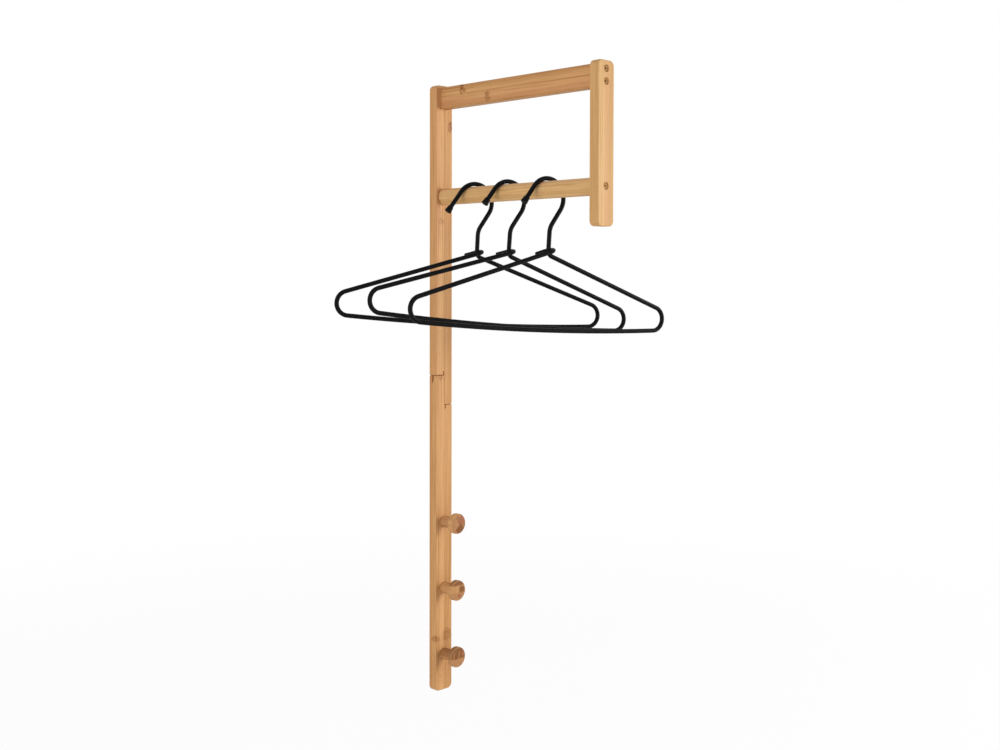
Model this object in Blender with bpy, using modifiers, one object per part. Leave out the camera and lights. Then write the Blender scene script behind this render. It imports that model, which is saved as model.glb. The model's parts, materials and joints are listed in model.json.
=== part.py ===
"""Wall coat rack in laminated bamboo, with three black wire hangers on its rod.

Metres, +Z up. The wall is the plane y = 0 and the rack stands out towards -Y, with +X to the
right of someone facing the wall. The origin lies on the wall face of the post, midway between
the two keyhole brackets.
"""

from collections import namedtuple
from math import acos, atan2, cos, degrees, hypot, pi, radians, sin, sqrt, tan

import bmesh
import bpy
from mathutils import Vector

# Post: two flat bars joined end to end by a half lap
POST_HALF = 0.4425           # length of each half, lap tongue included
LAP = 0.042                  # overlap of the two tongues
BAR_WIDTH = 0.031            # flat bar along X
BAR_DEPTH = 0.014            # flat bar along Y
END_RADIUS = 0.007           # rounding of a bar's free corners
TONGUE_RADIUS = 0.0025       # rounding of a tongue's end corners
EDGE_EASE = 0.0016           # rounding of the long edges
SEAM_EASE = 0.0004           # rounding of the edges that meet in the lap
RELIEF_WIDTH = 0.0036        # cutter's overrun past the inner corner of each lap, on the front
RELIEF_LENGTH = 0.0055
RELIEF_DEPTH = 0.0012
FIT = 0.0003                 # gap between pieces that touch

# Frame that carries the hangers
ARM_SPAN = 0.2725            # clear distance from the post to the outer upright
ARM_HEIGHT = 0.0298
ARM_THICKNESS = 0.013
ARM_DROP = 0.003             # arm's top below the post's top
ARM_SCREW_SPACING = 0.0154
UPRIGHT_LENGTH = 0.203
ROD_DIAMETER = 0.0225
ROD_DROP = 0.1535            # rod's axis below the post's top
ROD_EASE = 0.0006            # rounding of the rod's end edges

# Turned knobs
KNOB_FIRST = 0.0514          # lowest knob's axis above the post's foot
KNOB_STEP = 0.093
KNOB_LENGTH = 0.0297         # from the post's face to the top of the head
KNOB_SHANK_DIAMETER = 0.0157
KNOB_HEAD_DIAMETER = 0.0280
KNOB_RIM = 0.0052            # straight side of the head
KNOB_FLARE = 0.0065          # hollow sweep from the shank to the head
KNOB_ROUND = 0.0018          # rounding of the head's front edge
KNOB_DOME = 0.0011           # rise of the head's face

# Wood screws: socket is its width over corners, sink is the depth of the head below the face
WoodScrew = namedtuple("WoodScrew", "head head_height shank length socket sink")
FRAME_SCREW = WoodScrew(0.0078, 0.0030, 0.0040, 0.036, 0.0033, 0.0009)
KNOB_SCREW = WoodScrew(0.0078, 0.0030, 0.0040, 0.026, 0.0033, 0.0030)
LAP_SCREW = WoodScrew(0.0066, 0.0026, 0.0035, 0.024, 0.0028, 0.0005)
BRACKET_SCREW = WoodScrew(0.0056, 0.0016, 0.0028, 0.0085, 0.0024, 0.0003)
SCREW_RIM = 0.0004           # straight edge of a screw's head
SCREW_POINT = 0.005          # tapered end of a screw
SOCKET_DEPTH = 0.0014
LAP_SCREW_SPACING = 0.021

# Keyhole brackets, let into the back of the post to hang it on wall screws
BRACKET_LENGTH = 0.050
BRACKET_WIDTH = 0.018
BRACKET_THICKNESS = 0.0015
BRACKET_CORNER = 0.003
BRACKET_SCREW_SPACING = 0.040
BRACKET_SINK = 0.0002        # bracket's back below the post's back
KEYHOLE_HEAD = 0.0100        # round hole that takes a wall screw's head
KEYHOLE_SLOT = 0.0050        # width of the slot for its shank
KEYHOLE_RISE = 0.0085        # from the round hole's centre to the slot's end centre
HEAD_ROOM = 0.0055           # depth of the pocket behind the keyhole

# Wire hangers
WIRE_DIAMETER = 0.0058
HANGER_WIDTH = 0.400         # over the wire at both shoulders
SHOULDER_RADIUS = 0.0160     # of the wire's centre line
SHOULDER_DROP = 0.0744       # shoulder arc's centre below the neck
BAR_BOW = 0.0047             # sag of the bottom wire
NECK_DROP = 0.0824           # right arm's root below the rod's axis
NECK_LIFT = 0.0037           # left arm's crossing above the right arm's root
NECK_RADIUS = 0.008          # bend from the stem into the right arm
STEM_OFFSET = 0.0104         # stem's place to the right of the rod's axis
STEM_RADIUS = 0.0232         # lower bend of the stem
HOOK_RADIUS = 0.0252
HOOK_OFFSET = 0.0040         # hook arc's centre to the right of the rod's axis
HOOK_START = 147.0           # degrees, where the hook's straight leg begins
HOOK_END = -31.6             # degrees, where the stem leaves the hook
WRAP_GAP = 0.0006            # gap between the stem and the wire wound round it
WRAP_RISE = 0.0012           # climb of the wound half turn
TAIL_LENGTH = 0.0155         # wire's free end behind the left arm
TIP_LENGTH = 0.0085          # end cap on the hook
TIP_COVER = 0.0062           # length of wire inside the cap
TIP_MOUTH = 0.0076           # diameters of the cap at its mouth and its end
TIP_END = 0.0094
TIP_ROUND = 0.0007

# Each hanger: place along the rod from the wall, turn about the vertical and lean in degrees, length of
# its hook's straight leg, and how far its left shoulder is bent down
Hanger = namedtuple("Hanger", "name reach turn lean leg droop")
HANGERS = (
    Hanger("hanger_inner", 0.0699, -19.3, 3.0, 0.033, 0.0),
    Hanger("hanger_middle", 0.1319, -15.1, 4.4, 0.0245, 0.0),
    Hanger("hanger_outer", 0.2013, -13.3, 3.9, 0.0254, 0.008),
)

# Steps of the curved forms
CORNER_STEPS = 5
BEVEL_STEPS = 3
SEAM_STEPS = 1
ROD_END_STEPS = 2
KNOB_SIDES = 28
DOME_STEPS = 4
SCREW_SIDES = 14
TIP_SIDES = 16
HOLE_SIDES = 28
SOCKET_SIDES = 6
ROD_SIDES = 32
WIRE_RESOLUTION = 2
HOOK_STEPS = 20
STEM_STEPS = 5
NECK_STEPS = 6
SHOULDER_STEPS = 11
BOTTOM_STEPS = 8
WRAP_STEPS = 8
SHARP_ANGLE = 40.0           # degrees, edges shaded sharp
EASE_ANGLE = 60.0            # degrees, edges that get eased
FLAT_ANGLE = 1.0             # degrees, faces joined into one
MERGE = 1e-6                 # points closer than this are one
GAP_SAMPLE = 0.0009          # spacing of the points that measure the wire's gap to itself
GAP_STRETCH = 0.0216         # stretch of wire that counts as its own neighbour

# Heights and depths that follow from the sizes above
KNOB_HEIGHTS = {"lower": KNOB_FIRST, "middle": KNOB_FIRST + KNOB_STEP, "upper": KNOB_FIRST + 2 * KNOB_STEP}
POST_LENGTH = 2 * POST_HALF - LAP
LOWER_BRACKET_HEIGHT = (KNOB_HEIGHTS["middle"] + KNOB_HEIGHTS["upper"]) / 2
UPPER_BRACKET_HEIGHT = POST_LENGTH - (ARM_DROP + ARM_HEIGHT + ROD_DROP) / 2
FOOT = -(LOWER_BRACKET_HEIGHT + UPPER_BRACKET_HEIGHT) / 2
TOP = FOOT + POST_LENGTH
LAP_TOP = FOOT + POST_HALF
LAP_BOTTOM = LAP_TOP - LAP
LAP_MIDDLE = (LAP_TOP + LAP_BOTTOM) / 2
ARM_MIDDLE = TOP - ARM_DROP - ARM_HEIGHT / 2
ROD_HEIGHT = TOP - ROD_DROP
HALF_WIDTH = BAR_WIDTH / 2
POST_FACE = -BAR_DEPTH
UPRIGHT_INSIDE = POST_FACE - ARM_SPAN
UPRIGHT_FACE = UPRIGHT_INSIDE - BAR_DEPTH
SPAN_MIDDLE = (POST_FACE + UPRIGHT_INSIDE) / 2

# Rotations that turn a piece's own Z axis towards the room, the wall and the right
TO_ROOM = (pi / 2, 0.0, 0.0)
TO_WALL = (-pi / 2, 0.0, 0.0)
TO_RIGHT = (0.0, pi / 2, 0.0)


def clear_scene():
    for item in list(bpy.data.objects):
        bpy.data.objects.remove(item)


def new_collection(name):
    collection = bpy.data.collections.new(name)
    bpy.context.scene.collection.children.link(collection)
    return collection


def new_material(name, colour, roughness, metallic=0.0):
    material = bpy.data.materials.new(name)
    material.use_nodes = True
    shader = material.node_tree.nodes["Principled BSDF"]
    shader.inputs["Base Color"].default_value = (*colour, 1.0)
    shader.inputs["Roughness"].default_value = roughness
    shader.inputs["Metallic"].default_value = metallic
    return material


clear_scene()
PARTS = new_collection("wall_coat_rack")
CUTTERS = new_collection("cutters")

BAMBOO = new_material("bamboo", (0.62, 0.36, 0.15), 0.5)
BAMBOO_ROD = new_material("bamboo_rod", (0.66, 0.40, 0.17), 0.45)
BAMBOO_KNOB = new_material("bamboo_knob", (0.45, 0.22, 0.09), 0.5)
BRONZED_STEEL = new_material("bronzed_steel", (0.30, 0.18, 0.08), 0.4, 0.8)
ZINC_STEEL = new_material("zinc_steel", (0.55, 0.55, 0.53), 0.35, 1.0)
BLACK_WIRE = new_material("black_coated_wire", (0.012, 0.012, 0.013), 0.35)
BLACK_TIP = new_material("black_tip", (0.015, 0.015, 0.016), 0.5)


def add_object(name, data, material=None, location=(0, 0, 0), rotation=(0, 0, 0), parent=None):
    """A part where a material is given, and otherwise a hidden cutter."""
    item = bpy.data.objects.new(name, data)
    item.location = location
    item.rotation_euler = rotation
    item.parent = parent
    if material:
        data.materials.append(material)
        PARTS.objects.link(item)
    else:
        item.hide_render = True
        item.display_type = "WIRE"
        CUTTERS.objects.link(item)
    return item


def cut(target, cutter):
    boolean = target.modifiers.new("cut_" + cutter.name, "BOOLEAN")
    boolean.operation = "DIFFERENCE"
    boolean.object = cutter


def shade(mesh):
    mesh.shade_smooth()
    mesh.set_sharp_from_angle(angle=radians(SHARP_ANGLE))


def rounded_outline(corners):
    """Points of a closed outline through (x, z, radius) corners, each rounded by an arc."""
    points = []
    for index, (x, z, radius) in enumerate(corners):
        here = Vector((x, z))
        back = (Vector(corners[index - 1][:2]) - here).normalized()
        ahead = (Vector(corners[(index + 1) % len(corners)][:2]) - here).normalized()
        half = back.angle(ahead) / 2
        centre = here + (back + ahead).normalized() * radius / sin(half)
        start = here + back * radius / tan(half) - centre
        end = here + ahead * radius / tan(half) - centre
        first = atan2(start.y, start.x)
        sweep = (atan2(end.y, end.x) - first + pi) % (2 * pi) - pi
        for step in range(CORNER_STEPS + 1):
            angle = first + sweep * step / CORNER_STEPS
            point = centre + radius * Vector((cos(angle), sin(angle)))
            if not points or min((point - other).length for other in (points[0], points[-1])) > MERGE:
                points.append(point)
    return points


def rectangle(left, right, low, high, low_radius=0.0, high_radius=0.0):
    return [(left, high, high_radius), (left, low, low_radius),
            (right, low, low_radius), (right, high, high_radius)]


def slab(name, corners, y_back, y_front, material=None):
    """A flat outline in XZ, between two depths."""
    curve = bpy.data.curves.new(name + "_outline", "CURVE")
    curve.dimensions = "2D"
    curve.fill_mode = "BOTH"
    curve.extrude = (y_back - y_front) / 2
    outline = rounded_outline(corners)
    spline = curve.splines.new("POLY")
    spline.points.add(len(outline) - 1)
    for point, (x, z) in zip(spline.points, outline):
        point.co = (x, z, 0.0, 1.0)
    spline.use_cyclic_u = True
    flat = bpy.data.objects.new(name + "_outline", curve)
    CUTTERS.objects.link(flat)
    mesh = bpy.data.meshes.new_from_object(flat.evaluated_get(bpy.context.evaluated_depsgraph_get()))
    mesh.name = name
    bpy.data.objects.remove(flat)
    bpy.data.curves.remove(curve)
    form = bmesh.new()
    form.from_mesh(mesh)
    bmesh.ops.remove_doubles(form, verts=form.verts, dist=MERGE)
    bmesh.ops.dissolve_limit(form, angle_limit=radians(FLAT_ANGLE), verts=form.verts, edges=form.edges)
    bmesh.ops.recalc_face_normals(form, faces=form.faces)
    form.to_mesh(mesh)
    form.free()
    mesh.materials.clear()
    shade(mesh)
    return add_object(name, mesh, material, (0, (y_back + y_front) / 2, 0), TO_ROOM)


def ease_edges(item, width, segments):
    ease = item.modifiers.new("ease", "BEVEL")
    ease.width = width
    ease.segments = segments
    ease.limit_method = "ANGLE"
    ease.angle_limit = radians(EASE_ANGLE)
    ease.use_clamp_overlap = False


def flat_bar(name, low, high, low_radius, high_radius, y_back, y_front):
    """An upright bar with rounded corners and eased long edges."""
    corners = rectangle(-HALF_WIDTH, HALF_WIDTH, low, high, low_radius, high_radius)
    bar = slab(name, corners, y_back, y_front, BAMBOO)
    ease_edges(bar, EDGE_EASE, BEVEL_STEPS)
    return bar


def cylinder(name, diameter, length, sides, material=None, location=(0, 0, 0), rotation=(0, 0, 0),
             parent=None):
    mesh = bpy.data.meshes.new(name)
    form = bmesh.new()
    bmesh.ops.create_cone(form, cap_ends=True, segments=sides, radius1=diameter / 2,
                          radius2=diameter / 2, depth=length)
    form.to_mesh(mesh)
    form.free()
    shade(mesh)
    return add_object(name, mesh, material, location, rotation, parent)


def turned(name, profile, sides, material=None, location=(0, 0, 0), rotation=(0, 0, 0), parent=None):
    """A profile of (radius, height) points, from top to bottom, turned about the piece's own Z axis."""
    mesh = bpy.data.meshes.new(name)
    edges = [(index, index + 1) for index in range(len(profile) - 1)]
    mesh.from_pydata([(radius, 0.0, height) for radius, height in profile], edges, [])
    piece = add_object(name, mesh, material, location, rotation, parent)
    screw = piece.modifiers.new("turn", "SCREW")
    screw.steps = sides
    screw.render_steps = sides
    screw.use_merge_vertices = True
    screw.merge_threshold = MERGE
    screw.use_smooth_shade = True
    weld = piece.modifiers.new("weld", "WELD")
    weld.merge_threshold = MERGE
    return piece


def screw_profile(size, grow, top):
    """A countersunk wood screw below a face at height 0, or the room for it when it is grown."""
    head = size.head / 2 + grow
    shank = size.shank / 2 + grow
    return [(0.0, top), (head, top), (head, -size.sink - SCREW_RIM - grow),
            (shank, -size.sink - size.head_height - grow),
            (shank, -size.length + SCREW_POINT - grow), (0.0, -size.length - grow)]


def wood_screw(name, size, location, rotation, material, targets):
    """A screw with a hexagon socket, and the hole for it in each of its targets."""
    screw = turned(name, screw_profile(size, 0.0, -size.sink), SCREW_SIDES, material, location, rotation)
    cut(screw, cylinder(name + "_socket", size.socket, 2 * SOCKET_DEPTH, SOCKET_SIDES,
                        location=(0, 0, -size.sink), parent=screw))
    room = turned(name + "_room", screw_profile(size, FIT, BAR_DEPTH), SCREW_SIDES, parent=screw)
    for target in targets:
        cut(target, room)


def make_post():
    """Two bars whose tongues lie side by side in a half lap, screwed together from the right."""
    seam = FIT / 2
    upper = flat_bar("upper_post", LAP_BOTTOM + seam, TOP, TONGUE_RADIUS, END_RADIUS, 0.0, POST_FACE)
    lower = flat_bar("lower_post", FOOT, LAP_TOP - seam, END_RADIUS, TONGUE_RADIUS, 0.0, POST_FACE)
    upper_lap = rectangle(-BAR_WIDTH, seam, LAP_BOTTOM - LAP, LAP_TOP + seam)
    upper_relief = rectangle(seam - RELIEF_WIDTH, seam, LAP_TOP, LAP_TOP + RELIEF_LENGTH, 0.0, RELIEF_WIDTH / 2)
    for half, sign in ((upper, 1), (lower, -1)):
        lap, relief = ([(sign * x, LAP_MIDDLE + sign * (z - LAP_MIDDLE), radius) for x, z, radius in corners]
                       for corners in (upper_lap, upper_relief))
        cut(half, slab(half.name + "_lap", lap, BAR_DEPTH, 2 * POST_FACE))
        ease_edges(half, SEAM_EASE, SEAM_STEPS)
        cut(half, slab(half.name + "_relief", relief, POST_FACE + RELIEF_DEPTH, 2 * POST_FACE))
    for end, sign in (("upper", 1), ("lower", -1)):
        place = (HALF_WIDTH, POST_FACE / 2, LAP_MIDDLE + sign * LAP_SCREW_SPACING / 2)
        wood_screw("lap_screw_" + end, LAP_SCREW, place, TO_RIGHT, ZINC_STEEL, (upper, lower))
    return upper, lower


def make_frame(upper_post):
    """Arm, rod and outer upright, screwed together through the post and the upright."""
    half = ARM_THICKNESS / 2
    section = rectangle(-half, half, ARM_MIDDLE - ARM_HEIGHT / 2, ARM_MIDDLE + ARM_HEIGHT / 2,
                        EDGE_EASE, EDGE_EASE)
    arm = slab("top_arm", section, POST_FACE - FIT, UPRIGHT_INSIDE + FIT, BAMBOO)
    rod = cylinder("hanging_rod", ROD_DIAMETER, ARM_SPAN - 2 * FIT, ROD_SIDES, BAMBOO_ROD,
                   (0, SPAN_MIDDLE, ROD_HEIGHT), TO_ROOM)
    ease_edges(rod, ROD_EASE, ROD_END_STEPS)
    upright = flat_bar("outer_upright", TOP - UPRIGHT_LENGTH, TOP, END_RADIUS, END_RADIUS,
                       UPRIGHT_INSIDE, UPRIGHT_FACE)
    joints = (("arm_screw_upper", ARM_MIDDLE + ARM_SCREW_SPACING / 2, arm),
              ("arm_screw_lower", ARM_MIDDLE - ARM_SCREW_SPACING / 2, arm),
              ("rod_screw", ROD_HEIGHT, rod))
    for name, height, held in joints:
        wood_screw("outer_" + name, FRAME_SCREW, (0, UPRIGHT_FACE, height), TO_ROOM,
                   BRONZED_STEEL, (upright, held))
        wood_screw("back_" + name, FRAME_SCREW, (0, 0, height), TO_WALL, ZINC_STEEL, (upper_post, held))


def knob_profile():
    head = KNOB_HEAD_DIAMETER / 2
    shank = KNOB_SHANK_DIAMETER / 2
    face = head - KNOB_ROUND
    shoulder = KNOB_LENGTH - KNOB_DOME
    rim_low = shoulder - KNOB_ROUND - KNOB_RIM
    shares = [step / DOME_STEPS for step in range(DOME_STEPS)]
    quarter = [radians(90 * step / CORNER_STEPS) for step in range(CORNER_STEPS + 1)]
    dome = [(face * share, KNOB_LENGTH - KNOB_DOME * share ** 2) for share in shares]
    front = [(face + KNOB_ROUND * sin(a), shoulder - KNOB_ROUND * (1 - cos(a))) for a in quarter]
    flare = [(shank + (head - shank) * (1 - sin(a)), rim_low - KNOB_FLARE * (1 - cos(a))) for a in quarter]
    return dome + front + flare + [(shank, 0.0), (0.0, 0.0)]


def make_knobs(lower_post):
    for name, height in KNOB_HEIGHTS.items():
        knob = turned("knob_" + name, knob_profile(), KNOB_SIDES, BAMBOO_KNOB,
                      (0, POST_FACE - FIT, FOOT + height), TO_ROOM)
        wood_screw("knob_screw_" + name, KNOB_SCREW, (0, 0, FOOT + height), TO_WALL,
                   ZINC_STEEL, (lower_post, knob))


def make_keyhole_bracket(name, height, post):
    """A keyhole bracket in its pocket, with room behind it for a wall screw's head."""
    back = -BRACKET_SINK
    front = back - BRACKET_THICKNESS
    long_half = BRACKET_LENGTH / 2
    wide_half = BRACKET_WIDTH / 2
    corners = rectangle(-wide_half, wide_half, height - long_half, height + long_half,
                        BRACKET_CORNER, BRACKET_CORNER)
    bracket = slab(name, corners, back, front, ZINC_STEEL)

    hole = height - KEYHOLE_RISE / 2
    slot_half = KEYHOLE_SLOT / 2
    slot = rectangle(-slot_half, slot_half, hole, hole + KEYHOLE_RISE + slot_half, 0.0, slot_half)
    cut(bracket, slab(name + "_slot", slot, BAR_DEPTH, -BAR_DEPTH))
    cut(bracket, cylinder(name + "_hole", KEYHOLE_HEAD, 2 * BAR_DEPTH, HOLE_SIDES,
                        location=(0, 0, hole), rotation=TO_ROOM))

    pocket = rectangle(-wide_half - FIT, wide_half + FIT, height - long_half - FIT, height + long_half + FIT,
                       BRACKET_CORNER + FIT, BRACKET_CORNER + FIT)
    cut(post, slab(name + "_pocket", pocket, BAR_DEPTH, front - FIT))
    room = KEYHOLE_HEAD / 2 + FIT
    cavity = rectangle(-room, room, hole - room, hole + KEYHOLE_RISE + room, room, room)
    cut(post, slab(name + "_cavity", cavity, BAR_DEPTH, front - HEAD_ROOM))
    for end, sign in (("upper", 1), ("lower", -1)):
        place = (0, back, height + sign * BRACKET_SCREW_SPACING / 2)
        wood_screw(name + "_screw_" + end, BRACKET_SCREW, place, TO_WALL, ZINC_STEEL, (bracket, post))


def arc(centre, radius, start, end, steps):
    """Points of an arc in XZ, between two angles in degrees."""
    angles = [radians(start + (end - start) * step / steps) for step in range(steps + 1)]
    return [Vector((centre[0] + radius * cos(a), 0.0, centre[1] + radius * sin(a))) for a in angles]


def touch_angle(point, centre, radius):
    """Angle, in degrees, of the place on a circle's upper right where a line from a point touches it."""
    across = centre[0] - point[0]
    down = point[1] - centre[1]
    return degrees(pi - atan2(down, across) - acos(radius / hypot(across, down)))


def hook_route(leg_length):
    """Hook and stem, from the wire's end at the tip down to the neck, about the rod's axis."""
    hang = HOOK_RADIUS - WIRE_DIAMETER / 2 - FIT - ROD_DIAMETER / 2
    centre = (HOOK_OFFSET, -sqrt(hang ** 2 - HOOK_OFFSET ** 2))
    hook = arc(centre, HOOK_RADIUS, HOOK_START, HOOK_END, HOOK_STEPS)
    leg = Vector((sin(radians(HOOK_START)), 0.0, -cos(radians(HOOK_START)))) * leg_length
    lean = radians(-HOOK_END)
    run = (hook[-1].x - STEM_OFFSET - STEM_RADIUS * (1 - cos(lean))) / sin(lean)
    stem_centre = (STEM_OFFSET + STEM_RADIUS, hook[-1].z - run * cos(lean) - STEM_RADIUS * sin(lean))
    stem = arc(stem_centre, STEM_RADIUS, 180 + HOOK_END, 180, STEM_STEPS)
    return [hook[0] - leg] + hook + stem


def body_route(droop):
    """Right arm, bottom wire and left arm, from the bend below the stem to the left arm's upper end."""
    half = HANGER_WIDTH / 2 - WIRE_DIAMETER / 2 - SHOULDER_RADIUS
    root = (0.0, -NECK_DROP)
    crossing = (0.0, -NECK_DROP + NECK_LIFT)
    shoulder = (root[1] + crossing[1]) / 2 - SHOULDER_DROP
    bow = degrees(atan2(2 * BAR_BOW, half))
    tilt = degrees(atan2(droop, 2 * half))
    turn = touch_angle(root, (half, shoulder), SHOULDER_RADIUS)
    bend_height = root[1] + NECK_RADIUS * tan(radians(turn / 2))
    bend = arc((NECK_RADIUS, bend_height), NECK_RADIUS, 180, 180 + turn, NECK_STEPS)
    right = arc((half, shoulder), SHOULDER_RADIUS, turn, -90 + bow + tilt, SHOULDER_STEPS)
    left_turn = touch_angle(crossing, (half, shoulder - droop), SHOULDER_RADIUS)
    left = arc((-half, shoulder - droop), SHOULDER_RADIUS, -90 - bow + tilt, -180 - left_turn, SHOULDER_STEPS)
    shares = [step / BOTTOM_STEPS for step in range(1, BOTTOM_STEPS)]
    sag = Vector((0.0, 0.0, -4 * BAR_BOW))
    bottom = [right[-1].lerp(left[0], share) + sag * share * (1 - share) for share in shares]
    return bend + right + bottom + left


def neck_route(shoulder):
    """Left arm's wire past the stem's front, half round the stem and straight back behind the arm."""
    wrap = WIRE_DIAMETER + WRAP_GAP
    start = Vector((0.0, -wrap, NECK_LIFT - NECK_DROP))
    along = (start - shoulder).normalized()
    slope = along.z / along.x
    wound = []
    for step in range(WRAP_STEPS + 1):
        angle = radians(-90 + 180 * step / WRAP_STEPS)
        across = wrap * cos(angle)
        rise = slope * across + WRAP_RISE * step / WRAP_STEPS
        wound.append(Vector((across, wrap * sin(angle), start.z + rise)))
    tail = Vector((along.x, 0.0, along.z)).normalized() * TAIL_LENGTH
    return wound + [wound[-1] - tail]


def hanger_route(hanger):
    """Centre line of one hanger's wire, from its hook tip to its tail's end, about the rod's axis."""
    body = body_route(hanger.droop)
    aside = Vector((STEM_OFFSET, 0.0, 0.0))
    return hook_route(hanger.leg) + [point + aside for point in body + neck_route(body[-1])]


def least_gap(route):
    """Least clear distance between stretches of the wire that aren't neighbours."""
    fine = []
    for start, end in zip(route, route[1:]):
        steps = max(1, int((end - start).length / GAP_SAMPLE))
        fine += [start.lerp(end, step / steps) for step in range(steps)]
    along = [0.0]
    for start, end in zip(fine, fine[1:]):
        along.append(along[-1] + (end - start).length)
    return min((fine[i] - fine[j]).length for i in range(len(fine)) for j in range(i)
               if along[i] - along[j] > GAP_STRETCH) - WIRE_DIAMETER


def tip_profile():
    """End cap: a short flared cup that takes the wire's end."""
    mouth = TIP_MOUTH / 2
    end = TIP_END / 2
    bore = WIRE_DIAMETER / 2 + FIT
    top = TIP_COVER + FIT
    bottom = top - TIP_LENGTH
    return [(0.0, -FIT), (bore, -FIT), (bore, top), (mouth - TIP_ROUND, top), (mouth, top - TIP_ROUND),
            (end, bottom + TIP_ROUND), (end - TIP_ROUND, bottom), (0.0, bottom)]


def make_hanger(hanger):
    """One wire hanger and its end cap, on an empty that lies on the rod's axis."""
    name = hanger.name
    route = hanger_route(hanger)
    print("%s: least gap of the wire to itself %.2f mm" % (name, 1000 * least_gap(route)))
    pivot = bpy.data.objects.new(name + "_pivot", None)
    pivot.location = (0, -hanger.reach, ROD_HEIGHT)
    pivot.rotation_euler = (0, radians(hanger.lean), radians(hanger.turn))
    PARTS.objects.link(pivot)
    curve = bpy.data.curves.new(name, "CURVE")
    curve.dimensions = "3D"
    curve.bevel_depth = WIRE_DIAMETER / 2
    curve.bevel_resolution = WIRE_RESOLUTION
    curve.use_fill_caps = True
    spline = curve.splines.new("POLY")
    spline.points.add(len(route) - 1)
    for point, place in zip(spline.points, route):
        point.co = (*place, 1.0)
    add_object(name, curve, BLACK_WIRE, parent=pivot)
    lead = route[1] - route[0]
    turned(name + "_tip", tip_profile(), TIP_SIDES, BLACK_TIP, route[0],
           (0.0, atan2(lead.x, lead.z), 0.0), pivot)


upper_post, lower_post = make_post()
make_frame(upper_post)
make_knobs(lower_post)
make_keyhole_bracket("keyhole_bracket_upper", FOOT + UPPER_BRACKET_HEIGHT, upper_post)
make_keyhole_bracket("keyhole_bracket_lower", FOOT + LOWER_BRACKET_HEIGHT, lower_post)
for hanger in HANGERS:
    make_hanger(hanger)
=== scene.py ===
"""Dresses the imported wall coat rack: finer pieces, laminated bamboo, bronzed screws and black coated wire.

Metres, +Z up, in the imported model's own frame: the wall is y = 0 and the rack stands out towards -Y.
"""

import json
from collections import namedtuple
from math import acos, atan2, cos, degrees, hypot, pi, radians, sin, sqrt, tan

import bmesh
import bpy
from mathutils import Euler, Matrix, Vector


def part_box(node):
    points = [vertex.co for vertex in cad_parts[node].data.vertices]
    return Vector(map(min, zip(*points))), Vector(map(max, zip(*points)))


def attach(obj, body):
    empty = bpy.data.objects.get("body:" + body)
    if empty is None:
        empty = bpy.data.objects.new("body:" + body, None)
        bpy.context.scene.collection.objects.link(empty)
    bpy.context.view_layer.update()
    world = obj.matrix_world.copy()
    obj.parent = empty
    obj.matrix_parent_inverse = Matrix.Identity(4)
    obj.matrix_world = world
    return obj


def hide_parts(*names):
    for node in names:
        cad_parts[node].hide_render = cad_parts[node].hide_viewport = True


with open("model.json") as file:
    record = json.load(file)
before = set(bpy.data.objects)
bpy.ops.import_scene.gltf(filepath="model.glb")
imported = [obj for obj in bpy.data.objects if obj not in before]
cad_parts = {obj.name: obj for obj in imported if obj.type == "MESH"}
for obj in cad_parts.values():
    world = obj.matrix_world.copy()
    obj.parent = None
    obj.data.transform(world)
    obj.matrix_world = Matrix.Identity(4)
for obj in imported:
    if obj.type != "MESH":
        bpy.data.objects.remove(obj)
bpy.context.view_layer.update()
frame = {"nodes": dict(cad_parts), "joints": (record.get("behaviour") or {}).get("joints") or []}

# Sizes that a node's box doesn't give
FIT = 0.0003                 # gap between pieces that touch
END_RADIUS = 0.007           # rounding of a bar's free corners
TONGUE_RADIUS = 0.0025       # rounding of a lap tongue's end corners
EDGE_EASE = 0.0016           # rounding of the long edges
SEAM_EASE = 0.0002           # rounding of the edges that meet in the lap
RELIEF_WIDTH = 0.0036        # cutter's overrun past the inner corner of each lap, on the front
RELIEF_LENGTH = 0.0055
RELIEF_DEPTH = 0.0012
ROD_EASE = 0.0006
KNOB_SHANK = 0.0157          # diameter
KNOB_RIM = 0.0052            # straight side of the head
KNOB_FLARE = 0.0065          # hollow sweep from the shank to the head
KNOB_ROUND = 0.0018          # rounding of the head's front edge
KNOB_DOME = 0.0011           # rise of the head's face

# Countersunk screws: shares are of the head's diameter
SCREW_HEAD_SHARE = 0.385     # height of the head
SCREW_SHANK_SHARE = 0.51     # diameter of the shank
SCREW_SOCKET_SHARE = 0.42    # socket over its corners
SCREW_RIM = 0.0004           # straight side of the head
SCREW_SINK = 0.0006          # head below the wood's face
SCREW_MOUTH = 0.0005         # growth of the hole's radius from the head to the wood's face
SCREW_POINT = 0.005          # length of the point
SCREW_EASE = 0.00015         # bevel of the head's edge
SOCKET_DEPTH = 0.0009

# Keyhole brackets in the back of the post
BRACKET_CORNER = 0.003       # rounding of the plate
KEYHOLE_HEAD = 0.0100        # diameter of the hole that takes a wall screw's head
KEYHOLE_RISE = 0.0085        # way of that head from the hole to the slot's end
HEAD_ROOM = 0.0055           # depth of the wood cut away for it in front of the plate

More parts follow.
